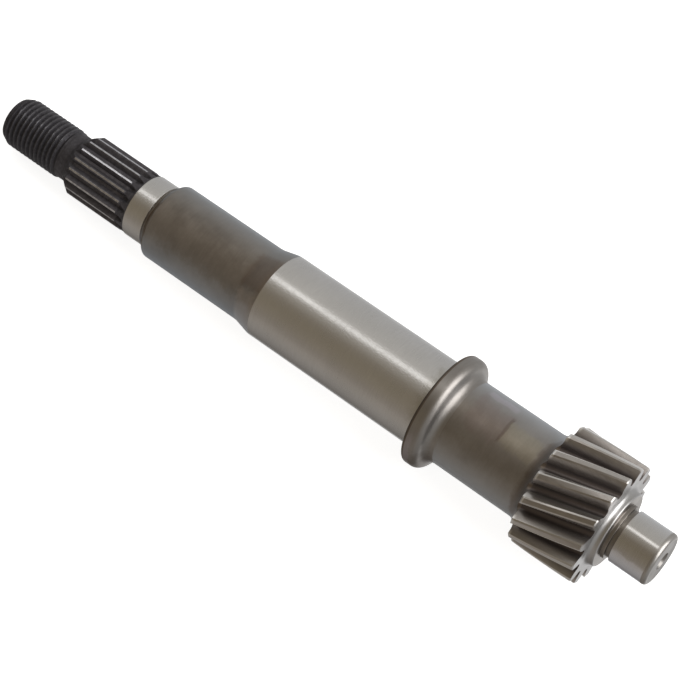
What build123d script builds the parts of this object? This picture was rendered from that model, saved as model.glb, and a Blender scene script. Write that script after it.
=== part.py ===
# Drive shaft of a small belt transmission: one turned bar with a threaded end, a spline,
# a ground seat and journal, a collar and a helical pinion cut on the same piece.
# Millimetres. The axis is X, the pinion end is +X, and the origin is on the axis in the
# plane of the collar's journal-side face.
import math
import os
from build123d import *

# Lengths from the collar face towards the threaded end
journal_length = 43.3
relief_length = 26.0
seat_length = 5.0
seat_groove_width = 1.4
spline_length = 19.5
neck_length = 2.8
thread_length = 15.9

# Lengths from the collar face towards the pinion end
collar_rim_width = 2.05
shank_length = 28.0
gear_width = 15.4
hub_length = 1.7
boss_length = 0.8
undercut_length = 1.0
stub_length = 8.8

# Diameters
thread_diameter = 12.0
neck_diameter = 11.25
spline_diameter = 15.0
seat_diameter = 15.0
relief_diameter = 18.05
journal_diameter = 20.0
collar_diameter = 26.2
shank_diameter = 19.85
hub_diameter = 17.3
boss_diameter = 12.4
undercut_diameter = 11.0
stub_diameter = 12.0

# Edge breaks, blends and grinding grooves
thread_chamfer_length = 1.8
thread_chamfer_depth = 0.85
thread_runout_length = 1.1
spline_chamfer_length = 2.5
grind_groove_depth = 0.25
relief_edge_radius = 0.75
flare_angle = 13.5
flare_blend_radius = 6.0
collar_face_radius = 0.8
collar_edge_radius = 1.9
collar_fillet_radius = 2.2
gear_fillet_radius = 3.1
gear_chamfer = 0.25
hub_fillet_radius = 1.2
hub_edge_radius = 0.35
stub_edge_radius = 0.9

# Spline grooves, which end on the arc of the cutter inside a plain band
spline_teeth = 18
spline_land_width = 0.55
spline_floor_width = 0.58
spline_depth = 1.1
spline_band_width = 2.4
spline_band_depth = 0.18
spline_cutter_radius = 2.6
spline_clock_angle = 26.0

# Helical pinion, left-hand; shift, tip height and flank depth are in modules
gear_teeth = 15
normal_module = 1.6
pressure_angle = 20.0
helix_angle = 15.0
profile_shift = 0.1
tip_height = 0.92
flank_depth = 0.48
tip_chamfer_depth = 0.2
tip_chamfer_angle = 60.0
gear_clock_angle = 17.0

# Centre holes at both ends
centre_drill_diameter = 2.4
centre_drill_depth = 4.0
centre_cone_diameter = 4.0
centre_cone_angle = 60.0
centre_point_angle = 118.0

# Radii that several features share
spline_radius = spline_diameter / 2
seat_radius = seat_diameter / 2
relief_radius = relief_diameter / 2
journal_radius = journal_diameter / 2
collar_radius = collar_diameter / 2
shank_radius = shank_diameter / 2
hub_radius = hub_diameter / 2
spline_floor_radius = spline_radius - spline_depth

# Stations along the axis towards the threaded end
flare_step = abs(journal_radius - relief_radius)
flare_run = flare_step / math.tan(math.radians(flare_angle))
flare_side = flare_step / math.sin(math.radians(flare_angle))
flare_tangent = min(flare_blend_radius * math.tan(math.radians(flare_angle) / 2), 0.45 * flare_side)
flare_blend = flare_tangent / math.tan(math.radians(flare_angle) / 2)
flare_top = -journal_length - flare_tangent
flare_foot = flare_top - flare_run
relief_start = flare_foot - flare_tangent - relief_length
seat_end = relief_start - seat_groove_width
seat_start = seat_end - seat_length
band_start = seat_start - spline_band_width
spline_start = seat_start - spline_length
neck_start = spline_start - neck_length
shaft_start = neck_start - thread_length

# The collar's round edge runs straight into its fillet, and these place the two arcs
collar_arcs = collar_edge_radius + collar_fillet_radius
collar_arc_rise = collar_arcs - (collar_radius - shank_radius)
collar_arc_run = math.sqrt(collar_arcs**2 - collar_arc_rise**2)
collar_fillet_end = collar_rim_width + collar_arc_run

# Stations along the axis towards the pinion end
gear_start = shank_length
gear_end = gear_start + gear_width
hub_end = gear_end + hub_length
boss_end = hub_end + boss_length
stub_start = boss_end + undercut_length
shaft_end = stub_start + stub_length

# Pinion sizes in the plane across the axis
helix = math.radians(helix_angle)
normal_pressure = math.radians(pressure_angle)
transverse_pressure = math.atan(math.tan(normal_pressure) / math.cos(helix))
pitch_radius = gear_teeth * normal_module / math.cos(helix) / 2
base_radius = pitch_radius * math.cos(transverse_pressure)
gear_radius = pitch_radius + normal_module * tip_height
flank_foot_radius = max(base_radius, pitch_radius - normal_module * flank_depth)
flank_top_radius = gear_radius - tip_chamfer_depth
gear_pitch_angle = 2 * math.pi / gear_teeth
twist_per_length = math.tan(helix) / pitch_radius

# Fillets at the pinion, no larger than the walls they join
gear_side_height = gear_radius - gear_chamfer - shank_radius
gear_fillet = min(gear_fillet_radius, 0.99 * gear_side_height)
hub_edge = min(hub_edge_radius, 0.2 * hub_length)
hub_fillet = min(hub_fillet_radius, 0.95 * (hub_length - hub_edge))


def threaded_side_points():
    """Corners from the threaded end to the collar's rim, from the axis outwards."""
    thread_radius = thread_diameter / 2
    neck_radius = neck_diameter / 2
    groove_radius = seat_radius - grind_groove_depth
    band_radius = spline_radius - spline_band_depth
    return [
        (shaft_start, 0),
        (shaft_start, thread_radius - thread_chamfer_depth),
        (shaft_start + thread_chamfer_length, thread_radius),
        (neck_start, thread_radius),
        (neck_start + thread_runout_length, neck_radius),
        (spline_start, neck_radius),
        (spline_start + spline_chamfer_length, spline_radius),
        (band_start, spline_radius),
        (band_start + spline_band_depth, band_radius),
        (seat_start, band_radius),
        (seat_start, seat_radius),
        (seat_end, seat_radius),
        (seat_end + grind_groove_depth, groove_radius),
        (relief_start, groove_radius),
        (relief_start, relief_radius),
        (flare_foot, relief_radius),
        (flare_top, journal_radius),
        (0, journal_radius),
        (0, collar_radius),
        (collar_rim_width, collar_radius),
    ]


def pinion_side_points():
    """Corners from the end of the collar's fillet to the axis at the stub's end."""
    stub_radius = stub_diameter / 2
    undercut_radius = undercut_diameter / 2
    boss_radius = boss_diameter / 2
    return [
        (collar_fillet_end, shank_radius),
        (gear_start, shank_radius),
        (gear_start, gear_radius - gear_chamfer),
        (gear_start + gear_chamfer, gear_radius),
        (gear_end - gear_chamfer, gear_radius),
        (gear_end, gear_radius - gear_chamfer),
        (gear_end, hub_radius),
        (hub_end, hub_radius),
        (hub_end, boss_radius),
        (boss_end, boss_radius),
        (boss_end, undercut_radius),
        (stub_start, undercut_radius),
        (stub_start, stub_radius),
        (shaft_end, stub_radius),
        (shaft_end, 0),
    ]


def half_section():
    """The shaft's outline above its axis, with its round corners."""
    left = threaded_side_points()
    right = pinion_side_points()
    share = collar_edge_radius / collar_arcs
    meeting = (
        collar_rim_width + collar_arc_run * share,
        collar_radius - collar_edge_radius + collar_arc_rise * share,
    )
    outline = [
        Polyline(*left),
        TangentArc(left[-1], meeting, tangent=(1, 0)),
        TangentArc(right[0], meeting, tangent=(-1, 0)),
        Polyline(*right),
        Line(right[-1], left[0]),
    ]
    section = make_face(Curve() + outline)
    blends = [
        (relief_start, relief_radius, relief_edge_radius),
        (flare_foot, relief_radius, flare_blend),
        (flare_top, journal_radius, flare_blend),
        (0, collar_radius, collar_face_radius),
        (gear_start, shank_radius, gear_fillet),
        (gear_end, hub_radius, hub_fillet),
        (hub_end, hub_radius, hub_edge),
        (shaft_end, stub_diameter / 2, stub_edge_radius),
    ]
    for x, radius, size in blends:
        corner = section.vertices().sort_by_distance((x, radius, 0))[0]
        section = fillet(corner, size)
    return section


def turned_blank():
    """The bar as it leaves the lathe, before the spline and the pinion are cut."""
    return revolve(half_section(), Axis.X)


def spline_groove_section():
    """One groove's outline, carried on past the metal by half the groove's depth."""
    pitch_arc = 2 * math.pi * spline_radius / spline_teeth
    mouth = (pitch_arc - spline_land_width) / 2
    floor = spline_floor_width / 2
    top = mouth + (mouth - floor) / 2
    return make_face(
        Polyline(
            (-floor, spline_floor_radius),
            (floor, spline_floor_radius),
            (top, spline_radius + spline_depth / 2),
            (-top, spline_radius + spline_depth / 2),
            close=True,
        )
    )


def spline_groove():
    """A straight groove from the neck that runs out on the cutter's arc."""
    start = spline_start - spline_depth / 2
    section = Plane((start, 0, 0), x_dir=(0, 1, 0), z_dir=(1, 0, 0)) * spline_groove_section()
    straight = extrude(section, band_start - start, dir=(1, 0, 0))
    end = Plane((band_start, 0, 0), x_dir=(0, 1, 0), z_dir=(1, 0, 0)) * spline_groove_section()
    cutter_axis = Axis((band_start, 0, spline_floor_radius + spline_cutter_radius), (0, -1, 0))
    runout = revolve(end, cutter_axis, 90)
    return straight + runout


def involute(angle):
    """The involute function of a pressure angle."""
    return math.tan(angle) - angle


def half_space_angle(radius):
    """Half the angle of the space between two teeth at a radius."""
    pitch_thickness = math.pi / 2 + 2 * profile_shift * math.tan(normal_pressure)
    half_tooth_at_base = pitch_thickness / gear_teeth + involute(transverse_pressure)
    half_tooth = half_tooth_at_base - involute(math.acos(base_radius / radius))
    return gear_pitch_angle / 2 - half_tooth


def space_point(radius, angle):
    """A place in the tooth space's plane, its angle measured from the middle."""
    return (radius * math.sin(angle), radius * math.cos(angle))


def flank_radii():
    """Radii along a flank, closer together near its foot where it curves most."""
    steps = 6
    height = flank_top_radius - flank_foot_radius
    return [flank_foot_radius + height * (i / steps) ** 2 for i in range(steps + 1)]


def tooth_space_section():
    """One tooth space: a round root between involute flanks, and the tips' chamfers."""
    right = [space_point(r, half_space_angle(r)) for r in flank_radii()]
    left = [(-x, y) for x, y in right]
    foot_slope = half_space_angle(flank_foot_radius) + math.acos(base_radius / flank_foot_radius)
    inward = (math.sin(foot_slope), -math.cos(foot_slope))
    chamfer_width = tip_chamfer_depth * math.tan(math.radians(tip_chamfer_angle))
    outer_radius = gear_radius + tip_chamfer_depth
    outer_angle = half_space_angle(flank_top_radius) + 2 * chamfer_width / gear_radius
    right_outer = space_point(outer_radius, outer_angle)
    left_outer = space_point(outer_radius, -outer_angle)
    outline = [
        TangentArc(left[0], right[0], tangent=inward),
        Spline(*right),
        Line(right[-1], right_outer),
        ThreePointArc(right_outer, (0, outer_radius), left_outer),
        Line(left_outer, left[-1]),
        Spline(*left),
    ]
    return make_face(Curve() + outline)


def tooth_space():
    """One helical tooth space, which runs out over the fillet at the shank."""
    start = gear_start - gear_fillet - normal_module / 3
    length = gear_end + normal_module / 3 - start
    to_middle = gear_start + gear_width / 2 - start
    lead_in = math.degrees(twist_per_length * to_middle + gear_pitch_angle / 2)
    section = Plane((start, 0, 0), x_dir=(0, 1, 0), z_dir=(1, 0, 0)) * tooth_space_section()
    twisted = Solid.extrude_linear_with_rotation(
        section.face(),
        center=(start, 0, 0),
        normal=(length, 0, 0),
        angle=-math.degrees(twist_per_length * length),
    )
    return Rot(X=gear_clock_angle + lead_in) * twisted


def centre_hole(x, inward):
    """A drilled and countersunk centre hole in an end face; inward is +1 or -1 along X."""
    drill_radius = centre_drill_diameter / 2
    cone_radius = centre_cone_diameter / 2
    cone_depth = (cone_radius - drill_radius) / math.tan(math.radians(centre_cone_angle) / 2)
    point_depth = drill_radius / math.tan(math.radians(centre_point_angle) / 2)
    outline = Polyline(
        (x, 0),
        (x, cone_radius),
        (x + inward * cone_depth, drill_radius),
        (x + inward * centre_drill_depth, drill_radius),
        (x + inward * (centre_drill_depth + point_depth), 0),
        close=True,
    )
    return revolve(make_face(outline), Axis.X)


def around_axis(shape, count, first_angle):
    """Copies of a shape at even steps round the shaft's axis."""
    return [Rot(X=first_angle + i * 360 / count) * shape for i in range(count)]


def drive_shaft():
    """The finished shaft."""
    half_groove_step = 180 / spline_teeth
    shaft = turned_blank()
    shaft -= around_axis(spline_groove(), spline_teeth, spline_clock_angle + half_groove_step)
    shaft -= around_axis(tooth_space(), gear_teeth, 0)
    shaft -= centre_hole(shaft_start, 1)
    shaft -= centre_hole(shaft_end, -1)
    return shaft


os.makedirs("parts", exist_ok=True)
export_step(drive_shaft(), "parts/drive_shaft.step")
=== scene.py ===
import math

import bmesh
import bpy
import numpy as np
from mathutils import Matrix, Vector


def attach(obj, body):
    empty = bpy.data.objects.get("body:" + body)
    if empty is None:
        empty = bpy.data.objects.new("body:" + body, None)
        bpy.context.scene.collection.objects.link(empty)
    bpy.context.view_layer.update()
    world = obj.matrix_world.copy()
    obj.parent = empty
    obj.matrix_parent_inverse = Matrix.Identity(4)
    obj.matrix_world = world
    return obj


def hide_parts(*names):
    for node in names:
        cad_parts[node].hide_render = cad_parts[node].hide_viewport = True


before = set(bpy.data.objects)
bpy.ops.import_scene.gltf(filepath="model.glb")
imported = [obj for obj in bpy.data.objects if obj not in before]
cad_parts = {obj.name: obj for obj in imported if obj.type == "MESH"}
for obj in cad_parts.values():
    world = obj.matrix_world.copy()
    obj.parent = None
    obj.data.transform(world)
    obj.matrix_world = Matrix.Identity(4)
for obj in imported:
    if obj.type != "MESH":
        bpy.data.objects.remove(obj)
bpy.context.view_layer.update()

# The shaft is one closed skin in fourteen finishes, and it lies on a pale floor in a soft studio.
# Sizes are in millimetres and become metres where Blender takes them. The axis is X, the pinion end
# is +X, and the origin is on the axis in the plane of the collar's flat face.
MM = 0.001

# Lengths from the collar's flat face towards the threaded end
JOURNAL_LENGTH = 43.3
RELIEF_LENGTH = 26.0
GROOVE_WIDTH = 1.4
SEAT_LENGTH = 5.0
BAND_LENGTH = 2.4
SPLINE_LENGTH = 17.1
NECK_LENGTH = 2.8
THREAD_LENGTH = 15.9

# Lengths from the collar's flat face towards the pinion end
COLLAR_RIM = 2.05
SHANK_LENGTH = 28.0
GEAR_WIDTH = 15.4
HUB_LENGTH = 1.7
BOSS_LENGTH = 0.8
UNDERCUT_LENGTH = 1.0
STUB_LENGTH = 8.8

# Radii
THREAD_CREST = 6.0
THREAD_TIP = 5.15
NECK = 5.625
SPLINE = 7.5
SPLINE_FLOOR = 6.4
BAND = 7.32
SEAT = 7.5
GROOVE = 7.25
RELIEF = 9.025
JOURNAL = 10.0
COLLAR = 13.1
SHANK = 9.925
HUB = 8.65
BOSS = 6.2
UNDERCUT = 5.5
STUB = 6.0

# Rounded corners, chamfers and the flare between relief and journal
EDGE_BREAK = 0.07
STEP_ROUNDING = 0.1
SPLINE_CHAMFER = 2.5
RELIEF_EDGE = 0.75
FLARE_ANGLE = math.radians(13.5)
FLARE_BLEND = 6.0
COLLAR_FACE_EDGE = 0.8
COLLAR_EDGE = 1.9
COLLAR_FILLET = 2.2
GEAR_FILLET = 3.1
GEAR_CHAMFER = 0.25
HUB_FILLET = 1.2
HUB_EDGE = 0.34
STUB_EDGE = 0.9

# Stations along the axis
FLARE_RUN = (JOURNAL - RELIEF) / math.tan(FLARE_ANGLE)
FLARE_TANGENT = FLARE_BLEND * math.tan(FLARE_ANGLE / 2)
FLARE_TOP = -JOURNAL_LENGTH - FLARE_TANGENT
FLARE_FOOT = FLARE_TOP - FLARE_RUN
RELIEF_START = FLARE_FOOT - FLARE_TANGENT - RELIEF_LENGTH
SEAT_END = RELIEF_START - GROOVE_WIDTH
SEAT_START = SEAT_END - SEAT_LENGTH
BAND_START = SEAT_START - BAND_LENGTH
SPLINE_START = BAND_START - SPLINE_LENGTH
NECK_START = SPLINE_START - NECK_LENGTH
SHAFT_START = NECK_START - THREAD_LENGTH
GEAR_START = SHANK_LENGTH
GEAR_END = GEAR_START + GEAR_WIDTH
HUB_END = GEAR_END + HUB_LENGTH
BOSS_END = HUB_END + BOSS_LENGTH
STUB_START = BOSS_END + UNDERCUT_LENGTH
SHAFT_END = STUB_START + STUB_LENGTH

# Thread: a fine metric form, right-hand, with a chamfered start and a run-out into the neck. Half a
# crest and the end of a flank are in pitches from the middle of a crest.
PITCH = 1.25
FLANK_FOOT = 5.323
THREAD_ROOT = 5.233
HALF_CREST = 0.0625
FLANK_END = 0.375
THREAD_CHAMFER = 1.8
RUNOUT = 1.7
RUNOUT_END = NECK_START + 0.55 * RUNOUT
THREAD_END = NECK_START + 0.6 * RUNOUT

# Spline: grooves that end on the arc of the cutter inside the band. Their flanks go sideways by
# FLANK_RUN for each millimetre of height. The clock angle is that of a groove's middle.
SPLINE_TEETH = 18
SPLINE_CLOCK = math.radians(36)
FLOOR_HALF = 0.29
FLANK_RUN = 0.6764
FLANK_HEIGHT = 1.0345
LAND_BREAK = 0.15
LAND_BREAK_WIDTH = 1.3 * LAND_BREAK
CUTTER = 2.6

# Pinion: left-hand helical involute teeth. Shift, tip height and foot depth are in modules, and the
# clock angle is that of a tooth's middle, halfway along the teeth.
GEAR_TEETH = 15
MODULE = 1.6
PRESSURE = math.radians(20)
HELIX = math.radians(15)
SHIFT = 0.1
TIP_HEIGHT = 0.92
FOOT_DEPTH = 0.48
TIP_CHAMFER = 0.2
TIP_CHAMFER_WIDTH = TIP_CHAMFER * math.tan(math.radians(60))
GEAR_CLOCK = math.radians(17)
TRANSVERSE = math.atan(math.tan(PRESSURE) / math.cos(HELIX))
PITCH_RADIUS = GEAR_TEETH * MODULE / math.cos(HELIX) / 2
BASE_RADIUS = PITCH_RADIUS * math.cos(TRANSVERSE)
GEAR_RADIUS = PITCH_RADIUS + MODULE * TIP_HEIGHT
FOOT_RADIUS = PITCH_RADIUS - MODULE * FOOT_DEPTH
CHAMFER_FOOT = GEAR_RADIUS - TIP_CHAMFER
TWIST = math.tan(HELIX) / PITCH_RADIUS

# Centre holes: a drilled hole with a countersink, the same at both ends
DRILL = 1.2
DRILL_DEPTH = 4.0
POINT_DEPTH = DRILL / math.tan(math.radians(59))
CONE = 2.0
CONE_DEPTH = (CONE - DRILL) / math.tan(math.radians(30))

# How finely the skin is divided: steps to a root corner, a flank, a land and an arc, and lines of
# points round the thread. A tooth's flank has its points closer together towards the foot.
ROOT_STEPS = 4
TOOTH_FLANK_STEPS = 5
TOOTH_FLANK_CROWDING = 1.5
GROOVE_FLANK_STEPS = 4
LAND_STEPS = 3
LEAST_ARC_STEPS = 3
THREAD_LINES = 90

# How far an arc's chord may stand off it, how near a guard ring stands to a corner, and how long a
# step may be along the teeth and along the end of the grooves
CHORD = 0.008
GUARD = 0.16
TOOTH_STEP = 1.1
RUNOUT_STEP = 0.2

# Where the rings of the spline's side begin and end, and where those of the pinion's side begin
SPLINE_SIDE_START = SPLINE_START - 1.2
SPLINE_SIDE_END = RELIEF_START + 8
GEAR_SIDE_START = RELIEF_START + 12

# Where a ground finish ends, a little before a round edge
GROUND_FACE_END = COLLAR - 1.2 * COLLAR_FACE_EDGE
GROUND_STUB_END = SHAFT_END - 1.3 * STUB_EDGE

# A length in millimetres that counts as none, the smallest share of an arc between two of its
# points, and how much of a straight stretch is kept clear at each end
NO_LENGTH = 1e-6
LEAST_ARC_SHARE = 0.004
CLEAR_SHARE = 1e-4


def involute(angle):
    """The involute function of a pressure angle."""
    return math.tan(angle) - angle


def half_space(radius):
    """Half the angle of the space between two teeth at a radius."""
    thickness = math.pi / 2 + 2 * SHIFT * math.tan(PRESSURE)
    half_tooth = thickness / GEAR_TEETH + involute(TRANSVERSE)
    half_tooth -= involute(math.acos(BASE_RADIUS / radius))
    return math.pi / GEAR_TEETH - half_tooth


def tooth_outline():
    """Angles and radii from the middle of a tooth space to the middle of the next tooth."""
    foot = half_space(FOOT_RADIUS)
    slope = foot + math.acos(BASE_RADIUS / FOOT_RADIUS)
    foot_x = FOOT_RADIUS * math.sin(foot)
    foot_y = FOOT_RADIUS * math.cos(foot)
    root_radius = foot_x / math.cos(slope)
    root_centre = foot_y + foot_x * math.tan(slope)
    outline = []
    for i in range(ROOT_STEPS):
        turn = (math.pi / 2 - slope) * i / ROOT_STEPS
        x = root_radius * math.sin(turn)
        y = root_centre - root_radius * math.cos(turn)
        outline.append((math.atan2(x, y), math.hypot(x, y)))
    for i in range(TOOTH_FLANK_STEPS + 1):
        share = (i / TOOTH_FLANK_STEPS) ** TOOTH_FLANK_CROWDING
        radius = FOOT_RADIUS + (CHAMFER_FOOT - FOOT_RADIUS) * share
        outline.append((half_space(radius), radius))
    tip = half_space(CHAMFER_FOOT) + TIP_CHAMFER_WIDTH / GEAR_RADIUS
    middle = math.pi / GEAR_TEETH
    for angle in (tip, (tip + middle) / 2, middle):
        outline.append((angle, GEAR_RADIUS))
    return outline


def groove_outline():
    """Sideways places and heights above the floor from a groove's middle to the land's edge."""
    points = [(0.0, 0.0), (FLOOR_HALF / 2, 0.0), (FLOOR_HALF, 0.0)]
    for i in range(1, GROOVE_FLANK_STEPS + 1):
        height = (FLANK_HEIGHT - LAND_BREAK) * i / GROOVE_FLANK_STEPS
        points.append((FLOOR_HALF + FLANK_RUN * height, height))
    return points


def mirrored_ring(half, pitch, count, clock):
    """Repeats half a pitch, given as (angle, radius), to both sides and all the way round."""
    angles = [-a for a, r in half[:0:-1]] + [a for a, r in half[:-1]]
    radii = [r for a, r in half[:0:-1]] + [r for a, r in half[:-1]]
    turns = np.repeat(np.arange(count) * pitch + clock, len(angles))
    return turns + np.tile(angles, count), np.tile(radii, count)


TOOTH = tooth_outline()
GROOVE_SIDE = groove_outline()


def spline_ring(x, limit):
    """Angles and radii round the spline, and round the plain stretches beside it."""
    reach = max(0.0, x - BAND_START)
    half = []
    for side, height in GROOVE_SIDE:
        arc = (CUTTER - height) ** 2 - reach**2
        floor = SPLINE_FLOOR + CUTTER - math.sqrt(arc) if arc > 0 else 2 * SPLINE
        if reach > 0:
            floor = min(floor, math.sqrt(limit**2 - side**2))
        half.append((math.atan2(side, floor), min(limit, math.hypot(side, floor))))
    edge = half[-1][0] + LAND_BREAK_WIDTH / SPLINE
    middle = math.pi / SPLINE_TEETH
    for i in range(LAND_STEPS + 1):
        half.append((edge + (middle - edge) * i / LAND_STEPS, limit))
    return mirrored_ring(half, 2 * middle, SPLINE_TEETH, SPLINE_CLOCK)


def gear_ring(x, limit):
    """Angles and radii round the pinion, and round the plain stretches beside it."""
    inside = min(max(x, GEAR_START - GEAR_FILLET), GEAR_END)
    lead = TWIST * (GEAR_START + GEAR_WIDTH / 2 - inside)
    first_space = GEAR_CLOCK + math.pi / GEAR_TEETH + lead
    in_teeth = GEAR_START - GEAR_FILLET <= x <= GEAR_END
    half = [(a, min(limit, r) if in_teeth else limit) for a, r in TOOTH]
    return mirrored_ring(half, 2 * math.pi / GEAR_TEETH, GEAR_TEETH, first_space)


def ring_points(x, angles, radii):
    """Points round the axis. Angle 0 is up, and a positive angle turns towards the near side."""
    places = np.full(len(angles), x)
    return np.column_stack([places, -radii * np.sin(angles), radii * np.cos(angles)])


def corner_arc(before, corner, after, radius, crossings):
    """Points along the arc that rounds a corner, with one at each radius in crossings."""
    into = np.subtract(corner, before)
    out = np.subtract(after, corner)
    into = into / np.hypot(*into)
    out = out / np.hypot(*out)
    side = math.copysign(1, into[0] * out[1] - into[1] * out[0])
    turn = math.acos(float(np.dot(into, out)))
    start = np.subtract(corner, into * radius * math.tan(turn / 2))
    centre = start + np.array([-into[1], into[0]]) * radius * side
    first = math.atan2(*(start - centre)[::-1])
    steps = max(LEAST_ARC_STEPS, math.ceil(turn / (2 * math.acos(1 - CHORD / radius))))
    places = [i / steps for i in range(steps + 1)]
    for level in crossings:
        height = (level - centre[1]) / radius
        if abs(height) < 1:
            for angle in (math.asin(height), math.pi - math.asin(height)):
                share = ((angle - first) * side % (2 * math.pi)) / turn
                if 0 < share < 1 and min(abs(share - p) for p in places) > LEAST_ARC_SHARE:
                    places.append(share)
    angles = [first + side * turn * p for p in sorted(places)]
    return [(centre[0] + radius * math.cos(a), centre[1] + radius * math.sin(a)) for a in angles]


def straight_points(start, end, crossings):
    """Points inside a straight stretch: one near each end, and one at each radius in crossings."""
    run = np.subtract(end, start)
    length = float(np.hypot(*run))
    if length < NO_LENGTH:
        return []
    places = []
    if length > 4 * GUARD:
        places = [GUARD / length, 1 - GUARD / length]
    if abs(run[1]) > NO_LENGTH:
        places += [(level - start[1]) / run[1] for level in crossings]
    places = sorted(p for p in places if CLEAR_SHARE < p < 1 - CLEAR_SHARE)
    return [tuple(np.add(start, run * p)) for p in places]


def outline_stations(corners, crossings=(), span=(0, 0)):
    """Turns corners (x, radius, rounding, finish) into stations (x, radius, finish).
    The finish is that of the stretch that leads up to the station. Stretches that slope inside
    the span get a station at each radius in crossings, where an edge of the teeth meets them."""
    rounded = []
    for i, (x, r, rounding, finish) in enumerate(corners):
        if rounding:
            before = corners[i - 1][:2]
            after = corners[i + 1][:2]
            radii = crossings if span[0] < x <= span[1] else ()
            rounded.append(corner_arc(before, (x, r), after, rounding, radii))
        else:
            rounded.append([(x, r)])
    stations = []
    for i, points in enumerate(rounded):
        finish = corners[i][3]
        if i:
            start, end = stations[-1][:2], points[0]
            slopes = end[0] - start[0] > NO_LENGTH and span[0] <= start[0] and end[0] <= span[1]
            for x, r in straight_points(start, end, crossings if slopes else ()):
                stations.append((x, r, finish))
        for x, r in points:
            stations.append((x, r, finish))
    return stations


def collar_corners():
    """The collar's round edge and fillet meet on one tangent; these are its two corners."""
    arcs = COLLAR_EDGE + COLLAR_FILLET
    rise = arcs - (COLLAR - SHANK)
    run = math.sqrt(arcs**2 - rise**2)
    half = math.tan(math.atan2(run, rise) / 2)
    return COLLAR_RIM + COLLAR_EDGE * half, COLLAR_RIM + run - COLLAR_FILLET * half


def spline_side():
    """Corners from the neck to the middle of the relief."""
    return [
        (SPLINE_SIDE_START, NECK, 0, "black"),
        (SPLINE_START, NECK, 0, "black"),
        (SPLINE_START + SPLINE_CHAMFER, SPLINE, 0, "black"),
        (BAND_START, SPLINE, 0, "spline"),
        (BAND_START + SPLINE - BAND, BAND, 0, "black"),
        (SEAT_START, BAND, 0, "black"),
        (SEAT_START, SEAT, EDGE_BREAK, "ground"),
        (SEAT_END, SEAT, EDGE_BREAK, "ground"),
        (SEAT_END + SEAT - GROOVE, GROOVE, STEP_ROUNDING, "turned"),
        (RELIEF_START, GROOVE, STEP_ROUNDING, "turned"),
        (RELIEF_START, RELIEF, RELIEF_EDGE, "turned"),
        (SPLINE_SIDE_END, RELIEF, 0, "turned"),
    ]


def gear_side():
    """Corners from the relief to the axis inside the stub's centre hole."""
    edge_corner, fillet_corner = collar_corners()
    return [
        (GEAR_SIDE_START, RELIEF, 0, "turned"),
        (FLARE_FOOT, RELIEF, FLARE_BLEND, "turned"),
        (FLARE_TOP, JOURNAL, FLARE_BLEND, "turned"),
        (0, JOURNAL, STEP_ROUNDING, "ground"),
        (0, GROUND_FACE_END, 0, "ground"),
        (0, COLLAR, COLLAR_FACE_EDGE, "edge"),
        (edge_corner, COLLAR, COLLAR_EDGE, "collar"),
        (fillet_corner, SHANK, COLLAR_FILLET, "collar"),
        (GEAR_START, SHANK, GEAR_FILLET, "shank"),
        (GEAR_START, GEAR_RADIUS - GEAR_CHAMFER, 0, "tooth"),
        (GEAR_START + GEAR_CHAMFER, GEAR_RADIUS, 0, "tooth"),
        (GEAR_END - GEAR_CHAMFER, GEAR_RADIUS, 0, "tooth"),
        (GEAR_END, GEAR_RADIUS - GEAR_CHAMFER, 0, "tooth"),
        (GEAR_END, HUB, HUB_FILLET, "hub"),
        (HUB_END, HUB, HUB_EDGE, "hub"),
        (HUB_END, BOSS, STEP_ROUNDING, "undercut"),
        (BOSS_END, BOSS, STEP_ROUNDING, "undercut"),
        (BOSS_END, UNDERCUT, STEP_ROUNDING, "undercut"),
        (STUB_START, UNDERCUT, STEP_ROUNDING, "undercut"),
        (STUB_START, STUB, EDGE_BREAK, "undercut"),
        (GROUND_STUB_END, STUB, 0, "stub"),
        (SHAFT_END, STUB, STUB_EDGE, "rim"),
        (SHAFT_END, CONE, EDGE_BREAK, "face"),
        (SHAFT_END - CONE_DEPTH, DRILL, 0, "face"),
        (SHAFT_END - DRILL_DEPTH, DRILL, 0, "face"),
        (SHAFT_END - DRILL_DEPTH - POINT_DEPTH, 0, 0, "face"),
    ]


def threaded_end():
    """Corners from the thread's first turn to the axis inside the centre hole at that end."""
    return [
        (SHAFT_START, THREAD_TIP, 0, "thread"),
        (SHAFT_START, CONE, EDGE_BREAK, "face"),
        (SHAFT_START + CONE_DEPTH, DRILL, 0, "face"),
        (SHAFT_START + DRILL_DEPTH, DRILL, 0, "face"),
        (SHAFT_START + DRILL_DEPTH + POINT_DEPTH, 0, 0, "face"),
    ]


def with_between(stations, start, end, step):
    """Adds stations on what lies between two places, so that no step there is longer than step."""
    result = [stations[0]]
    for station in stations[1:]:
        x0, r0 = result[-1][:2]
        x1, r1, finish = station
        if start <= x0 and x1 <= end and x1 - x0 > step:
            parts = math.ceil((x1 - x0) / step)
            for i in range(1, parts):
                share = i / parts
                result.append((x0 + (x1 - x0) * share, r0 + (r1 - r0) * share, finish))
        result.append(station)
    return result


def spline_stations():
    """Stations from the neck to the relief, close together where the grooves run out."""
    radii = sorted({math.hypot(side, SPLINE_FLOOR + height) for side, height in GROOVE_SIDE})
    span = (SPLINE_START, SPLINE_START + SPLINE_CHAMFER)
    stations = outline_stations(spline_side(), radii, span)
    return with_between(stations, BAND_START, SEAT_START, RUNOUT_STEP)


def gear_stations():
    """Stations from the relief to the stub's centre hole, close together along the teeth."""
    radii = sorted({round(r, 6) for a, r in TOOTH if r < GEAR_RADIUS})
    span = (GEAR_START - GEAR_FILLET, GEAR_END - NO_LENGTH)
    stations = outline_stations(gear_side(), radii, span)
    return with_between(stations, GEAR_START, GEAR_END, TOOTH_STEP)


def angle_of(point):
    """The angle of a point round the axis, as ring_points has it."""
    return math.atan2(-point[1], point[2])


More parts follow.
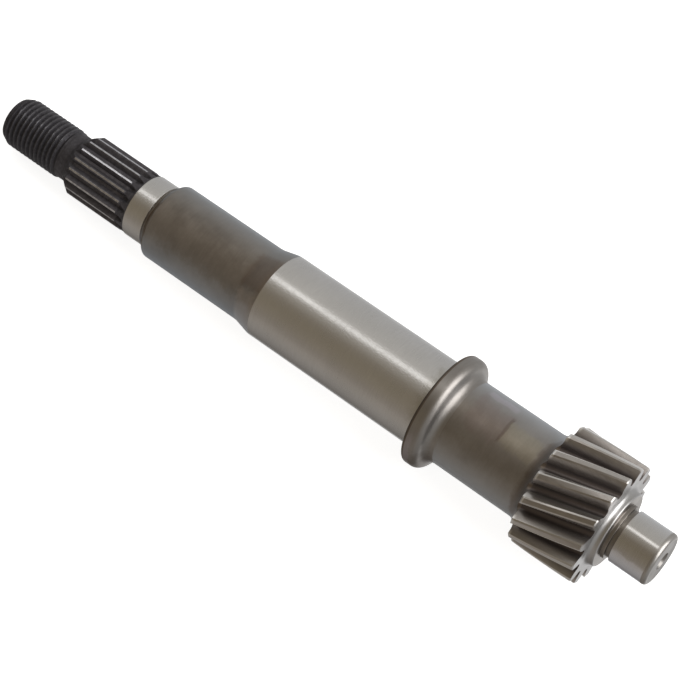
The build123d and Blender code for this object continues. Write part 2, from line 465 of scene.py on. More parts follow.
def family_rings(stations, ring_shape, meets):
    """Rings of one family, all rolled alike so that their first points lie beside an angle."""
    rings = [ring_points(x, *ring_shape(x, r)) for x, r, finish in stations]
    gaps = [abs((angle_of(p) - meets + math.pi) % (2 * math.pi) - math.pi) for p in rings[0]]
    first = gaps.index(min(gaps))
    return [np.roll(ring, -first, axis=0) for ring in rings]


def body_rings():
    """Rings of points from the neck to the stub's centre hole, with the finish before each."""
    left_stations = spline_stations()
    right_stations = gear_stations()
    left = family_rings(left_stations, spline_ring, 0.0)
    right = family_rings(right_stations, gear_ring, angle_of(left[-1][0]))
    return left + right, [finish for x, r, finish in left_stations + right_stations]


def thread_form(phase):
    """The thread's radius at a phase, in pitches from the middle of a crest."""
    off = abs((phase + 0.5) % 1 - 0.5)
    if off < HALF_CREST:
        return THREAD_CREST
    if off < FLANK_END:
        down = (off - HALF_CREST) / (FLANK_END - HALF_CREST)
        return THREAD_CREST - (THREAD_CREST - FLANK_FOOT) * down
    into_root = (off - FLANK_END) / (0.5 - FLANK_END)
    return FLANK_FOOT - (FLANK_FOOT - THREAD_ROOT) * math.sin(into_root * math.pi / 2)


# Where the thread gets a row of points, in pitches from the middle of a crest
HALF_PHASES = [0.0, HALF_CREST, 0.17, 0.27, FLANK_END, (FLANK_END + 0.5) / 2, 0.5]
PHASES = HALF_PHASES + [1 - phase for phase in HALF_PHASES[-2:0:-1]]


def thread_radius(x, phase):
    """The thread's surface, with its chamfered start and its run-out into the neck."""
    form = thread_form(phase)
    fade = min(1.0, max(0.0, (RUNOUT_END - x) / RUNOUT))
    fade = fade * fade * (3 - 2 * fade)
    radius = NECK + (form - NECK) * fade
    cone = THREAD_TIP + (x - SHAFT_START) * (THREAD_CREST - THREAD_TIP) / THREAD_CHAMFER
    return min(radius, cone)


def thread_rows():
    """Rows of points that follow the helix once round. Where a row ends its turn, the row that lies
    a whole pitch further on takes it up."""
    turns = math.ceil((THREAD_END - SHAFT_START) / PITCH) + 1
    shares = np.arange(THREAD_LINES) / THREAD_LINES
    rows = []
    for turn in range(-1, turns):
        for phase in PHASES:
            row = []
            for share in shares:
                x = SHAFT_START + PITCH * (turn + phase + share)
                x = min(max(x, SHAFT_START), THREAD_END)
                row.append((x, thread_radius(x, (x - SHAFT_START) / PITCH - share)))
            x, r = np.array(row).T
            rows.append(ring_points(x, shares * 2 * math.pi, r))
    return rows


class Skin:
    """Collects points and faces, with one finish for each face."""

    def __init__(self):
        self.points = []
        self.faces = []
        self.finishes = []

    def add_ring(self, ring):
        """Adds a ring's points and gives their numbers."""
        first = len(self.points)
        self.points.extend(map(tuple, ring))
        return list(range(first, first + len(ring)))

    def add_face(self, corners, finish):
        self.faces.append(corners)
        self.finishes.append(finish)

    def strip(self, left, right, finish):
        """Faces between two rings of equal length, the left one nearer the threaded end."""
        count = len(left)
        for i in range(count):
            j = (i + 1) % count
            self.add_face((left[i], right[i], right[j], left[j]), finish)

    def zip_up(self, coarse, fine, finish):
        """Faces between a ring and one with four times as many points."""
        count = len(coarse)
        for i in range(count):
            a, b = coarse[i], coarse[(i + 1) % count]
            f = [fine[(4 * i + k) % len(fine)] for k in range(5)]
            self.add_face((a, f[0], f[1]), finish)
            self.add_face((a, f[1], f[2]), finish)
            self.add_face((a, f[2], b), finish)
            self.add_face((b, f[2], f[3]), finish)
            self.add_face((b, f[3], f[4]), finish)


def add_thread(skin):
    """The thread's helical strips, its end face and its centre hole. Gives the last ring."""
    rows = [skin.add_ring(row) for row in thread_rows()]
    one_pitch = len(PHASES)
    last = THREAD_LINES - 1
    for k in range(len(rows) - 1):
        low, high = rows[k], rows[k + 1]
        for i in range(last):
            skin.add_face((low[i], high[i], high[i + 1], low[i + 1]), "thread")
        if k + 1 + one_pitch < len(rows):
            next_low, next_high = rows[k + one_pitch], rows[k + 1 + one_pitch]
            skin.add_face((low[last], high[last], next_high[0], next_low[0]), "thread")
    angles = np.arange(THREAD_LINES) * 2 * math.pi / THREAD_LINES
    outer = rows[0]
    for x, r, finish in outline_stations(threaded_end())[1:]:
        inner = skin.add_ring(ring_points(x, angles, np.full(THREAD_LINES, r)))
        skin.strip(inner, outer, finish)
        outer = inner
    return rows[-1]


def build_skin():
    """The whole shaft as one closed skin."""
    skin = Skin()
    thread_end = add_thread(skin)
    rings, finishes = body_rings()
    placed = [skin.add_ring(ring) for ring in rings]
    skin.zip_up(thread_end, placed[0], "black")
    for left, right, finish in zip(placed, placed[1:], finishes[1:]):
        skin.strip(left, right, finish)
    return skin


# The sockets of a Mix node that works on colours
MIX_SHARE, MIX_FIRST, MIX_SECOND = 0, 6, 7
MIX_RESULT = 2


class Nodes:
    """A short way to build a tree of shader nodes."""

    def __init__(self, tree):
        self.tree = tree

    def add(self, kind):
        return self.tree.nodes.new(kind)

    def feed(self, socket, value):
        """Gives a socket a colour, a number or what another node gives out."""
        if isinstance(value, tuple):
            socket.default_value = (*value, 1.0)
        elif isinstance(value, (int, float)):
            socket.default_value = value
        else:
            self.tree.links.new(value, socket)

    def parts(self, vector):
        """The X, Y and Z of a vector."""
        split = self.add("ShaderNodeSeparateXYZ")
        self.feed(split.inputs["Vector"], vector)
        return split.outputs

    def spread(self, value, low, high, to_low, to_high):
        """The value, with low to high stretched over to_low to to_high and held beyond them."""
        node = self.add("ShaderNodeMapRange")
        self.feed(node.inputs["Value"], value)
        self.feed(node.inputs["From Min"], low)
        self.feed(node.inputs["From Max"], high)
        self.feed(node.inputs["To Min"], to_low)
        self.feed(node.inputs["To Max"], to_high)
        return node.outputs["Result"]

    def maths(self, operation, first, second):
        node = self.add("ShaderNodeMath")
        node.operation = operation
        self.feed(node.inputs[0], first)
        self.feed(node.inputs[1], second)
        return node.outputs["Value"]

    def times(self, first, second):
        return self.maths("MULTIPLY", first, second)

    def mix(self, share, first, second, blend="MIX"):
        """A colour between two colours, or, to multiply, between the first and their product."""
        node = self.add("ShaderNodeMix")
        node.data_type = "RGBA"
        node.blend_type = blend
        self.feed(node.inputs[MIX_SHARE], share)
        self.feed(node.inputs[MIX_FIRST], first)
        self.feed(node.inputs[MIX_SECOND], second)
        return node.outputs[MIX_RESULT]

    def angle_round(self, parts):
        """The angle round the shaft's axis, from straight up towards the near side."""
        return self.maths("ARCTAN2", self.times(parts["Y"], -1.0), parts["Z"])


# How fine each pattern is, in cells to the millimetre along the shaft and both ways across it
CLOUDS = (0.16, 0.16, 0.16)
GRINDING_WAVES = (1.8, 2.4, 2.4)
CUT_GRAIN = (0.5, 1.6, 1.6)
BLACK_GRAIN = (1.2, 1.2, 1.2)
PATCH_EDGES = (0.4, 0.4, 0.4)
STREAKS_ACROSS = 0.3

# The values that noise mostly keeps to, those that it seldom leaves, and those over which the wear
# on blackened steel rises
MOST_NOISE = (0.35, 0.65)
NEARLY_ALL_NOISE = (0.3, 0.7)
WEAR_NOISE = (0.3, 0.6)

# How far an edge of a patch wanders, as a share of its softness
PATCH_WANDER = 0.6

# How far steel turns away from the view, from 0 to 1, where its painted sheen begins and where it is
# full
SHEEN_RISE = (0.08, 0.75)

# Painted shade in corners: how open a corner is where it is darkest and where it isn't dimmed at all,
# and the rays that try it
CORNER_OPENNESS = (0.35, 0.95)
CORNER_SAMPLES = 12


class Finish(Nodes):
    """The nodes of one of the shaft's finishes."""

    def __init__(self, name):
        self.material = bpy.data.materials.new(name)
        self.material.use_nodes = True
        super().__init__(self.material.node_tree)
        self.shader = self.tree.nodes["Principled BSDF"]

    def place(self):
        """The place on the shaft, in metres."""
        return self.add("ShaderNodeTexCoord").outputs["Object"]

    def place_along(self):
        """The place along the shaft's axis in millimetres."""
        return self.times(self.parts(self.place())["X"], 1 / MM)

    def radius(self):
        """How far the place is from the shaft's axis, in millimetres."""
        across = self.add("ShaderNodeVectorMath")
        across.operation = "MULTIPLY"
        across.inputs[1].default_value = (0, 1 / MM, 1 / MM)
        self.feed(across.inputs[0], self.place())
        length = self.add("ShaderNodeVectorMath")
        length.operation = "LENGTH"
        self.feed(length.inputs[0], across.outputs["Vector"])
        return length.outputs["Value"]

    def facing_round(self):
        """How far the surface faces round the axis, towards larger angles, from -1 to 1."""
        surface = self.add("ShaderNodeNewGeometry")
        cross = self.add("ShaderNodeVectorMath")
        cross.operation = "CROSS_PRODUCT"
        self.feed(cross.inputs[0], self.place())
        self.feed(cross.inputs[1], surface.outputs["Normal"])
        lever = self.times(self.parts(cross.outputs["Vector"])["X"], 1 / MM)
        return self.maths("DIVIDE", lever, self.radius())

    def noise(self, fineness, detail=3.0, roughness=0.55):
        """Cloudy noise with the given cells to the millimetre along and across the shaft."""
        mapping = self.add("ShaderNodeMapping")
        mapping.inputs["Scale"].default_value = [cells / MM for cells in fineness]
        self.feed(mapping.inputs["Vector"], self.place())
        node = self.add("ShaderNodeTexNoise")
        self.feed(node.inputs["Scale"], 1.0)
        self.feed(node.inputs["Detail"], detail)
        self.feed(node.inputs["Roughness"], roughness)
        self.feed(node.inputs["Vector"], mapping.outputs["Vector"])
        return node.outputs["Fac"]

    def patch(self, along, turned, soft):
        """1 inside a patch of the shaft's surface and 0 outside it, with soft and uneven edges. Along
        and turned are its ends in millimetres and in degrees, and soft how soft they are."""
        angle = self.times(self.angle_round(self.parts(self.place())), 180 / math.pi)
        waves = self.spread(self.noise(PATCH_EDGES), *NEARLY_ALL_NOISE, -1.0, 1.0)
        share = 1.0
        for value, (low, high), blur in zip((self.place_along(), angle), (along, turned), soft):
            value = self.maths("ADD", value, self.times(waves, blur * PATCH_WANDER))
            share = self.times(share, self.spread(value, low - blur, low, 0.0, 1.0))
            share = self.times(share, self.spread(value, high, high + blur, 1.0, 0.0))
        return share

    def painted_sheen_at_outline(self, colour, sheen, within=1.0):
        """The colour, going over to a painted sheen where the surface turns away from the view, as
        rough bare steel looks where light grazes it.
        """
        weight = self.add("ShaderNodeLayerWeight")
        self.feed(weight.inputs["Blend"], 0.5)
        share = self.spread(weight.outputs["Facing"], *SHEEN_RISE, 0.0, 1.0)
        return self.mix(self.times(share, within), colour, sheen)

    def painted_corner_shade(self, colour, reach, least):
        """The colour with painted shade in tight corners: dimmed towards least where other metal
        stands closer than reach in millimetres."""
        openness = self.add("ShaderNodeAmbientOcclusion")
        openness.samples = CORNER_SAMPLES
        self.feed(openness.inputs["Distance"], reach * MM)
        dim = self.spread(openness.outputs["AO"], *CORNER_OPENNESS, least, 1.0)
        return self.mix(1.0, colour, dim, "MULTIPLY")

    def bump(self, heights, depth):
        """Bumps from a height of 0 to 1 that stands for a depth in millimetres."""
        node = self.add("ShaderNodeBump")
        self.feed(node.inputs["Strength"], 1.0)
        self.feed(node.inputs["Distance"], depth * MM)
        self.feed(node.inputs["Height"], heights)
        self.feed(self.shader.inputs["Normal"], node.outputs["Normal"])

    def metal(self, colour, roughness, metallic):
        self.feed(self.shader.inputs["Base Color"], colour)
        self.feed(self.shader.inputs["Roughness"], roughness)
        self.feed(self.shader.inputs["Metallic"], metallic)


# Colours of the finishes, linear: the lightest and the darkest of each, and the colour of its painted
# sheen towards the outline. The steel that shows where the blackening has worn off has one colour.
GROUND_LIGHT = (0.64, 0.63, 0.62)
GROUND_DARK = (0.58, 0.57, 0.56)
RELIEF_LIGHT = (0.263, 0.228, 0.192)
RELIEF_DARK = (0.204, 0.172, 0.139)
RELIEF_SHEEN = (0.38, 0.395, 0.42)
SHANK_LIGHT = (0.272, 0.246, 0.220)
SHANK_DARK = (0.211, 0.185, 0.159)
SHANK_SHEEN = (0.43, 0.445, 0.47)
COLLAR_LIGHT = (0.34, 0.32, 0.30)
COLLAR_DARK = (0.27, 0.25, 0.235)
# The collar's round edge towards the journal is dark brown: partly dirt, partly painted shade
EDGE_LIGHT = (0.24, 0.20, 0.165)
EDGE_DARK = (0.15, 0.122, 0.098)
HUB_LIGHT = (0.52, 0.51, 0.51)
HUB_DARK = (0.42, 0.41, 0.40)
UNDERCUT_LIGHT = (0.33, 0.30, 0.275)
UNDERCUT_DARK = (0.25, 0.225, 0.20)
STUB_LIGHT = (0.57, 0.555, 0.54)
STUB_DARK = (0.51, 0.495, 0.48)
STUB_SHEEN = (0.70, 0.70, 0.71)
RIM_LIGHT = (0.46, 0.44, 0.42)
RIM_DARK = (0.36, 0.34, 0.32)
FACE_LIGHT = (0.38, 0.365, 0.35)
FACE_DARK = (0.23, 0.215, 0.20)
BLACK_LIGHT = (0.088, 0.083, 0.092)
BLACK_DARK = (0.056, 0.052, 0.058)
WORN = (0.70, 0.70, 0.745)

# Colours of the teeth, linear: the chamfers along their tips, their upper and lower parts, the
# painted highlight at their edges where they begin, and their painted sheen. The darker lower parts
# are partly the roots' own tone and partly painted shade in the spaces between the teeth.
TOOTH_CHAMFER = (0.52, 0.50, 0.48)
TOOTH_UPPER = (0.39, 0.365, 0.345)
TOOTH_LOWER = (0.14, 0.12, 0.115)
PAINTED_START_HIGHLIGHT = (0.92, 0.91, 0.90)
TOOTH_SHEEN = (0.95, 0.93, 0.91)

# Patches that change the colour, some of them real stains and marks and some of them painted light:
# from and to along the axis, from and to in degrees round it, how soft the edges are along and round,
# and the factor on the colour
RELIEF_PAINTED_LIGHT = [
    # Painted reflection: lighter and bluer on the near side
    ((-80.0, -42.0), (64, 104), (1.0, 14), (1.12, 1.17, 1.24)),
    # Painted shade: slightly darker on top, towards the back
    ((-80.0, -42.0), (-40, 0), (1.0, 14), (0.91, 0.91, 0.90)),
    # Painted shade and painted light on the flare: darker and browner on top, lighter on the near
    # side
    ((-48.6, -43.0), (-12, 34), (0.7, 8), (0.84, 0.78, 0.74)),
    ((-47.6, -43.0), (50, 100), (0.8, 10), (1.30, 1.24, 1.19)),
    # Painted shade: darker at the relief's shoulder, on the near side
    ((-75.5, -74.3), (10, 80), (0.2, 8), (0.62, 0.52, 0.42)),
]
JOURNAL_COLLAR_SHADOW = [
    # Painted shadow of the collar on the journal next to it
    ((-1.3, 0.5), (-6, 48), (1.5, 18), (0.84, 0.83, 0.80)),
]
COLLAR_PAINTED_LIGHT = [
    # Painted shade: darker low on the near side of the round edge and fillet
    ((2.3, 5.4), (102, 132), (0.7, 24), (0.74, 0.70, 0.67)),
    # Painted reflection: lighter and bluer on the near side of the rim
    ((0.6, 1.9), (66, 108), (0.4, 8), (1.15, 1.12, 1.19)),
]
SHANK_MARKS_AND_SHADE = [
    ((16.45, 16.85), (-14, 18), (0.3, 5), (0.74, 0.70, 0.68)),
    ((9.0, 16.4), (-14, 20), (1.2, 12), (0.95, 0.90, 0.90)),
    ((17.2, 24.5), (-6, 18), (0.8, 6), (1.10, 1.09, 1.0)),
    ((9.4, 15.5), (-37, -28), (0.6, 3), (1.18, 1.14, 1.20)),
    # Painted shade: darker where the teeth begin, on the near side
    ((25.6, 28.5), (-16, 84), (0.8, 10), (0.72, 0.66, 0.62)),
]
STUB_PAINTED_REFLECTION = [
    # Painted reflection: lighter and bluer on the near side
    ((STUB_START, SHAFT_END), (66, 108), (0.5, 7), (1.16, 1.19, 1.27)),
]


def steel(name, light, dark, roughness, streaks, depth, cloudy=0.45, corner=0.55, sheen=None,
          metallic=1.0, marks_and_painted_light=(), waves=0.0):
    """Bare steel with fine marks that run round the shaft and cloudy patches over them, and with
    painted shade in tight corners. Streaks are the marks to a millimetre and depth is how deep they
    are. Cloudy is the patches' share in the pattern, corner what is left of the colour under the
    painted shade in tight corners, sheen the colour of a painted sheen towards the outline, stains
    the patches of real marks and painted light, and waves how high the wider unevenness of grinding
    stands."""
    nodes = Finish(name)
    rings = nodes.noise((streaks, STREAKS_ACROSS, STREAKS_ACROSS), detail=4.0, roughness=0.6)
    cloud = nodes.noise(CLOUDS, detail=4.0)
    both = nodes.maths("ADD", nodes.times(rings, 1 - cloudy), nodes.times(cloud, cloudy))
    colour = nodes.mix(nodes.spread(both, *MOST_NOISE, 0.0, 1.0), dark, light)
    # A painted sheen towards the outline
    if sheen:
        colour = nodes.painted_sheen_at_outline(colour, sheen)
    for along, turned, soft, factor in marks_and_painted_light:
        colour = nodes.mix(nodes.patch(along, turned, soft), colour, factor, "MULTIPLY")
    rougher, smoother = 1.15 * roughness, 0.85 * roughness
    rough = nodes.spread(both, *NEARLY_ALL_NOISE, rougher, smoother)
    nodes.metal(nodes.painted_corner_shade(colour, reach=1.2, least=corner), rough, metallic)
    if waves:
        uneven = nodes.noise(GRINDING_WAVES)
        rings = nodes.maths("ADD", rings, nodes.times(uneven, waves / depth))
    nodes.bump(rings, depth)
    return nodes.material


def ground_steel():
    return steel("ground_steel", GROUND_LIGHT, GROUND_DARK, roughness=0.25, streaks=4.0,
                 depth=0.0022, marks_and_painted_light=JOURNAL_COLLAR_SHADOW, waves=0.02)


def turned_steel():
    return steel("turned_steel", RELIEF_LIGHT, RELIEF_DARK, roughness=0.68, streaks=2.2,
                 depth=0.001, cloudy=0.8, sheen=RELIEF_SHEEN, metallic=0.9, marks_and_painted_light=RELIEF_PAINTED_LIGHT)


# The collar's edge towards the journal, darkened partly by dirt and partly by painted shade
def collar_edge_dirt_and_shade():
    return steel("collar_edge_dirt_and_shade", EDGE_LIGHT, EDGE_DARK, roughness=0.5, streaks=2.2, depth=0.001)


def collar_steel():
    return steel("collar_steel", COLLAR_LIGHT, COLLAR_DARK, roughness=0.38, streaks=2.6,
                 depth=0.001, cloudy=0.7, corner=0.8, marks_and_painted_light=COLLAR_PAINTED_LIGHT)


def shank_steel():
    return steel("shank_steel", SHANK_LIGHT, SHANK_DARK, roughness=0.45, streaks=2.2,
                 depth=0.001, cloudy=0.8, sheen=SHANK_SHEEN, metallic=0.88, marks_and_painted_light=SHANK_MARKS_AND_SHADE)


def hub_steel():
    return steel("hub_steel", HUB_LIGHT, HUB_DARK, roughness=0.34, streaks=3.0, depth=0.001,
                 cloudy=0.6, corner=0.9)


def undercut_steel():
    return steel("undercut_steel", UNDERCUT_LIGHT, UNDERCUT_DARK, roughness=0.3, streaks=3.0,
                 depth=0.0004, cloudy=0.6, corner=0.7)


def stub_steel():
    return steel("stub_steel", STUB_LIGHT, STUB_DARK, roughness=0.185, streaks=5.0,
                 depth=0.001, sheen=STUB_SHEEN, marks_and_painted_light=STUB_PAINTED_REFLECTION)


def rim_steel():
    return steel("rim_steel", RIM_LIGHT, RIM_DARK, roughness=0.36, streaks=3.0, depth=0.001)


def face_steel():
    return steel("face_steel", FACE_LIGHT, FACE_DARK, roughness=0.4, streaks=2.5, depth=0.002,
                 cloudy=0.7)


# Radii between which a tooth goes from its lower to its upper part, its bright chamfer comes and
# goes, and its painted sheen and the painted highlight at its start come
UPPER_RISE = (GEAR_RADIUS - 2.4, GEAR_RADIUS - 0.3)
CHAMFER_RISE = (CHAMFER_FOOT - 0.12, CHAMFER_FOOT)
CHAMFER_FALL = (GEAR_RADIUS - 0.05, GEAR_RADIUS)
TOOTH_SHEEN_RISE = (GEAR_RADIUS - 3.2, GEAR_RADIUS - 0.9)
TOOTH_START_RISE = (CHAMFER_FOOT - 0.9, CHAMFER_FOOT)

# Places along the shaft between which the painted highlight at the teeth's start fades
TOOTH_START_FADE = (GEAR_START + 0.2, GEAR_START + 0.7)

# Only the chamfers that face smaller angles are bright: how far a surface faces larger ones, from
# where to where the brightness goes
CHAMFER_TURN = (-0.2, 0.2)

# Roughness of a tooth's lower and upper part
TOOTH_ROUGHNESS = (0.45, 0.3)


def tooth_steel():
    """Cut teeth: smooth lighter upper parts; darker roots, partly their own tone and partly painted
    shade; bright chamfers; and a painted highlight where the teeth start.
    """
    nodes = Finish("tooth_steel")
    height = nodes.radius()
    grain = nodes.noise(CUT_GRAIN, detail=5.0)
    # The lower part is darker: partly the roots' own tone, partly painted shade between the teeth
    upper = nodes.spread(height, *UPPER_RISE, 0.0, 1.0)
    chamfer = nodes.spread(height, *CHAMFER_RISE, 0.0, 1.0)
    chamfer = nodes.times(chamfer, nodes.spread(height, *CHAMFER_FALL, 1.0, 0.0))
    chamfer = nodes.times(chamfer, nodes.spread(nodes.facing_round(), *CHAMFER_TURN, 1.0, 0.0))
    share = nodes.times(upper, nodes.spread(grain, *MOST_NOISE, 0.75, 1.0))
    colour = nodes.mix(chamfer, nodes.mix(share, TOOTH_LOWER, TOOTH_UPPER), TOOTH_CHAMFER)
    # A painted sheen near the tips, towards the outline
    sheen_rise = nodes.spread(height, *TOOTH_SHEEN_RISE, 0.0, 1.0)
    colour = nodes.painted_sheen_at_outline(colour, TOOTH_SHEEN, within=sheen_rise)
    # A painted highlight along the tooth edges where the teeth start
    start = nodes.spread(nodes.place_along(), *TOOTH_START_FADE, 1.0, 0.0)
    start = nodes.times(start, nodes.spread(height, *TOOTH_START_RISE, 0.0, 1.0))
    colour = nodes.mix(start, colour, PAINTED_START_HIGHLIGHT)
    rough = nodes.spread(upper, 0.0, 1.0, *TOOTH_ROUGHNESS)
    nodes.metal(nodes.painted_corner_shade(colour, reach=1.5, least=0.7), rough, metallic=1.0)
    nodes.bump(grain, depth=0.003)
    return nodes.material


# Painted shade: the thread's crests are shown less worn, so darker, on the near side low down, in a
# patch given as the other patches are but with no factor
THREAD_SHADED_SIDE = ((SHAFT_START, NECK_START), (34, 110), (1.0, 18))
SHADED_SIDE_WEAR = 0.35

# How metallic and how deeply grained the blackened steel is
BLACK_METALLIC = 0.6
BLACK_DEPTH = 0.004


def black_colour(nodes, grain, lightness=1.0):
    """The uneven colour of the blackened steel, times a factor."""
    dark = tuple(channel * lightness for channel in BLACK_DARK)
    light = tuple(channel * lightness for channel in BLACK_LIGHT)
    return nodes.mix(nodes.spread(grain, *MOST_NOISE, 0.0, 1.0), dark, light)


def black_neck():
    """Blackened steel that nothing has worn."""
    nodes = Finish("blackened_steel")
    grain = nodes.noise(BLACK_GRAIN, detail=5.0)
    nodes.metal(black_colour(nodes, grain), roughness=0.62, metallic=BLACK_METALLIC)
    nodes.bump(grain, BLACK_DEPTH)
    return nodes.material


def worn_black_steel(name, rise, wear, roughness, worn_roughness, lightness, shaded_side=None):
    """Blackened steel that is worn bright where its radius rises past those in rise, and less so in
    a patch where that is painted shade."""
    nodes = Finish(name)
    grain = nodes.noise(BLACK_GRAIN, detail=5.0)
    high = nodes.spread(nodes.radius(), *rise, 0.0, 1.0)
    if shaded_side:
        high = nodes.times(high, nodes.spread(nodes.patch(*shaded_side), 0.0, 1.0, 1.0, SHADED_SIDE_WEAR))
    worn = nodes.times(high, nodes.spread(grain, *WEAR_NOISE, 0.5 * wear, wear))
    colour = nodes.mix(worn, black_colour(nodes, grain, lightness), WORN)
    rough = nodes.spread(high, 0.0, 1.0, roughness, worn_roughness)
    nodes.metal(colour, rough, nodes.spread(high, 0.0, 1.0, BLACK_METALLIC, 1.0))
    nodes.bump(grain, BLACK_DEPTH)
    return nodes.material


def black_thread():
    return worn_black_steel("blackened_thread", rise=(THREAD_CREST - 0.15, THREAD_CREST),
                            wear=0.14, roughness=0.5, worn_roughness=0.16, lightness=0.78,
                            shaded_side=THREAD_SHADED_SIDE)


# Its blackened steel is painted lighter, 1.35 times the neck's, as painted light against the shade in
# its grooves
def black_spline():
    return worn_black_steel("blackened_spline", rise=(SPLINE - 0.03, SPLINE - 0.003), wear=0.85,
                            roughness=0.5, worn_roughness=0.2, lightness=1.35)


FINISHES = {
    "thread": black_thread,
    "black": black_neck,
    "spline": black_spline,
    "ground": ground_steel,
    "turned": turned_steel,
    "edge": collar_edge_dirt_and_shade,
    "collar": collar_steel,
    "shank": shank_steel,
    "tooth": tooth_steel,
    "hub": hub_steel,
    "undercut": undercut_steel,
    "stub": stub_steel,
    "rim": rim_steel,
    "face": face_steel,
}

# In the mesh, points this close become one, an edge this short goes, and an edge that turns by less
# than this is smooth
ONE_POINT = 2e-4 * MM
NO_EDGE = 1e-5 * MM
SMOOTH_BELOW = math.radians(30)


def shaft_object():
    """The mesh of the whole shaft, with one material for each finish."""
    skin = build_skin()
    finishes = sorted(set(skin.finishes))
    mesh = bpy.data.meshes.new("turned_shaft")
    mesh.from_pydata([tuple(c * MM for c in p) for p in skin.points], [], skin.faces)
    for finish in finishes:
        mesh.materials.append(FINISHES[finish]())
    mesh.polygons.foreach_set("material_index", [finishes.index(f) for f in skin.finishes])
    work = bmesh.new()
    work.from_mesh(mesh)
    bmesh.ops.remove_doubles(work, verts=work.verts, dist=ONE_POINT)
    bmesh.ops.dissolve_degenerate(work, edges=work.edges, dist=NO_EDGE)
    bmesh.ops.recalc_face_normals(work, faces=work.faces)
    work.to_mesh(mesh)
    work.free()
    mesh.shade_smooth()
    mesh.set_sharp_from_angle(angle=SMOOTH_BELOW)
    shaft = bpy.data.objects.new("turned_shaft", mesh)
    bpy.context.scene.collection.objects.link(shaft)
    return shaft


# The camera looks down at a place on the axis, from the photograph's side and distance
CAMERA_AIM = Vector((-26.2, 0, 0)) * MM
CAMERA_BACK = Vector((0.3347, -0.4127, 0.8471)).normalized()
CAMERA_DISTANCE = 442.1 * MM
CAMERA_LENS = 111.19
CAMERA_SENSOR = 36.0
CAMERA_RANGE = (10 * MM, 50000 * MM)


def add_camera():
    data = bpy.data.cameras.new("camera")
    data.lens = CAMERA_LENS
    data.sensor_width = CAMERA_SENSOR
    data.clip_start, data.clip_end = CAMERA_RANGE
    camera = bpy.data.objects.new("camera", data)
    camera.location = CAMERA_AIM + CAMERA_BACK * CAMERA_DISTANCE
    camera.rotation_euler = CAMERA_BACK.to_track_quat("Z", "Y").to_euler()
    bpy.context.scene.collection.objects.link(camera)
    bpy.context.scene.camera = camera


# The floor lies just under the collar's rim and the relief's shoulder, on which the shaft comes to
# rest: their places along the axis and their heights
REST_LEFT = (RELIEF_START + RELIEF_EDGE, -RELIEF)
REST_RIGHT = ((COLLAR_FACE_EDGE + COLLAR_RIM) / 2, -COLLAR)
FLOOR_GAP = 0.02
FLOOR_HALF_WIDTH = 3000.0
FLOOR_GREY = 0.6
FLOOR_ROUGHNESS = 0.9
FLOOR_GLOW = 0.86


def add_floor():
    """A pale plane under the shaft."""
    slope = (REST_RIGHT[1] - REST_LEFT[1]) / (REST_RIGHT[0] - REST_LEFT[0])
    corners = []
    for x, y in ((-1, -1), (1, -1), (1, 1), (-1, 1)):
        along = x * FLOOR_HALF_WIDTH
        height = REST_LEFT[1] + slope * (along - REST_LEFT[0]) - FLOOR_GAP
        corners.append((along * MM, y * FLOOR_HALF_WIDTH * MM, height * MM))
    mesh = bpy.data.meshes.new("floor")
    mesh.from_pydata(corners, [], [(0, 1, 2, 3)])
    material = bpy.data.materials.new("pale_floor")
    material.use_nodes = True
    shader = material.node_tree.nodes["Principled BSDF"]
    shader.inputs["Base Color"].default_value = (FLOOR_GREY, FLOOR_GREY, FLOOR_GREY, 1)
    shader.inputs["Roughness"].default_value = FLOOR_ROUGHNESS
    shader.inputs["Specular IOR Level"].default_value = 0.0
    shader.inputs["Emission Color"].default_value = (1, 1, 1, 1)
    shader.inputs["Emission Strength"].default_value = FLOOR_GLOW
    mesh.materials.append(material)
    floor = bpy.data.objects.new("floor", mesh)
    bpy.context.scene.collection.objects.link(floor)
    floor.visible_glossy = False


# What the studio looks like round the shaft: degrees from straight up towards the near side, and
# the light that comes from there. It is grey above and behind, nearly white low down behind, and
# dim and warm on the near side.
SURROUNDINGS = [
    (-180, (0.24, 0.23, 0.22)),
    (-168, (0.88, 0.88, 0.88)),
    (-146, (0.94, 0.94, 0.94)),
    (-130, (0.60, 0.60, 0.60)),
    (-112, (0.54, 0.54, 0.54)),
    (-54, (0.555, 0.545, 0.52)),
    (-26, (0.58, 0.565, 0.53)),
    (8, (0.37, 0.34, 0.295)),
    (26, (0.25, 0.215, 0.168)),
    (46, (0.25, 0.213, 0.157)),
    (70, (0.28, 0.242, 0.188)),
    (90, (0.30, 0.265, 0.225)),
    (108, (0.375, 0.34, 0.30)),
    (126, (0.365, 0.34, 0.31)),
    (146, (0.31, 0.29, 0.27)),
    (164, (0.22, 0.205, 0.19)),
    (180, (0.17, 0.16, 0.15)),
]

# Past the pinion end the studio goes over to one grey: how far a direction leans towards +X, from
# and to, and the share of the grey at each
PINION_SIDE = (0.44, 0.44, 0.43)
BEYOND_PINION = (0.35, 0.8, 0.0, 1.0)

# Past the threaded end it is dim: the same two leanings, and how strong the light is at each
BEYOND_THREAD = (-0.9, -0.55, 0.35, 1.0)


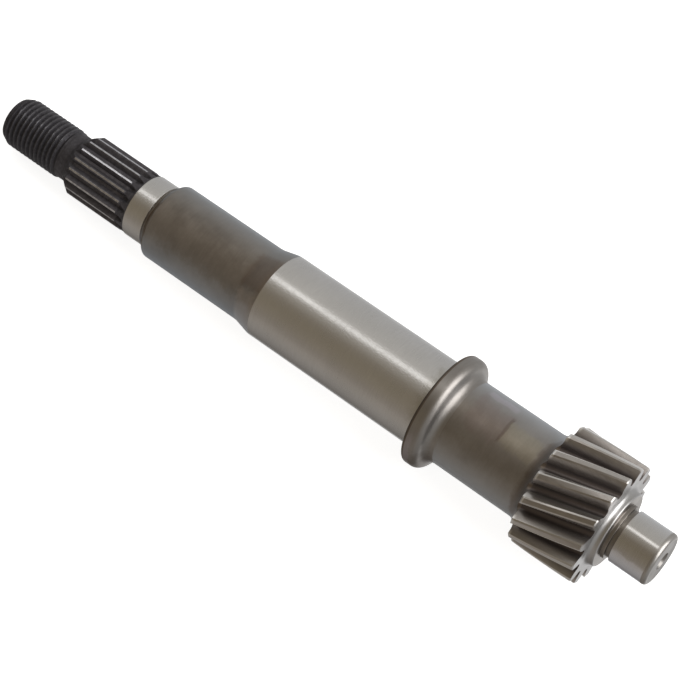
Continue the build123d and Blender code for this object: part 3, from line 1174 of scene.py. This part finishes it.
def add_world():
    """A soft studio, lighter behind and darker in front."""
    world = bpy.data.worlds.new("studio")
    bpy.context.scene.world = world
    world.use_nodes = True
    nodes = Nodes(world.node_tree)
    direction = nodes.parts(nodes.add("ShaderNodeTexCoord").outputs["Generated"])
    ramp = nodes.add("ShaderNodeValToRGB")
    whole_turn = nodes.spread(nodes.angle_round(direction), -math.pi, math.pi, 0.0, 1.0)
    nodes.feed(ramp.inputs["Fac"], whole_turn)
    elements = ramp.color_ramp.elements
    elements.remove(elements[-1])
    for i, (angle, light) in enumerate(SURROUNDINGS):
        position = (angle + 180) / 360
        element = elements.new(position) if i else elements[0]
        element.position = position
        element.color = (*light, 1)
    beyond_pinion = nodes.spread(direction["X"], *BEYOND_PINION)
    background = world.node_tree.nodes["Background"]
    light = nodes.mix(beyond_pinion, ramp.outputs["Color"], PINION_SIDE)
    nodes.feed(background.inputs["Color"], light)
    nodes.feed(background.inputs["Strength"], nodes.spread(direction["X"], *BEYOND_THREAD))


# The strip light stands above and a little behind, and runs along the shaft
STRIP_TOWARDS = Vector((0, 0.156, 0.988))
STRIP_SIZE = (1600.0, 125.0)
STRIP_POWER = 0.68

# A soft box stands beyond the pinion end and shows in the edges and fillets that look that way
BOX_TOWARDS = Vector((0.81, 0.275, 0.517))
BOX_SIZE = (700.0, 650.0)
BOX_POWER = 4.1

LIGHT_DISTANCE = 700.0


def add_light(name, towards, size, power):
    """An area light that looks back at the place the camera looks at."""
    data = bpy.data.lights.new(name, "AREA")
    data.shape = "RECTANGLE"
    data.size = size[0] * MM
    data.size_y = size[1] * MM
    data.energy = power
    light = bpy.data.objects.new(name, data)
    light.location = CAMERA_AIM + towards.normalized() * LIGHT_DISTANCE * MM
    light.rotation_euler = towards.to_track_quat("Z", "Y").to_euler()
    bpy.context.scene.collection.objects.link(light)


shaft = shaft_object()
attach(shaft, "root")
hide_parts("drive_shaft")
add_floor()
add_world()
add_light("strip", STRIP_TOWARDS, STRIP_SIZE, STRIP_POWER)
add_light("box", BOX_TOWARDS, BOX_SIZE, BOX_POWER)
add_camera()
bpy.context.scene.view_settings.view_transform = "Standard"
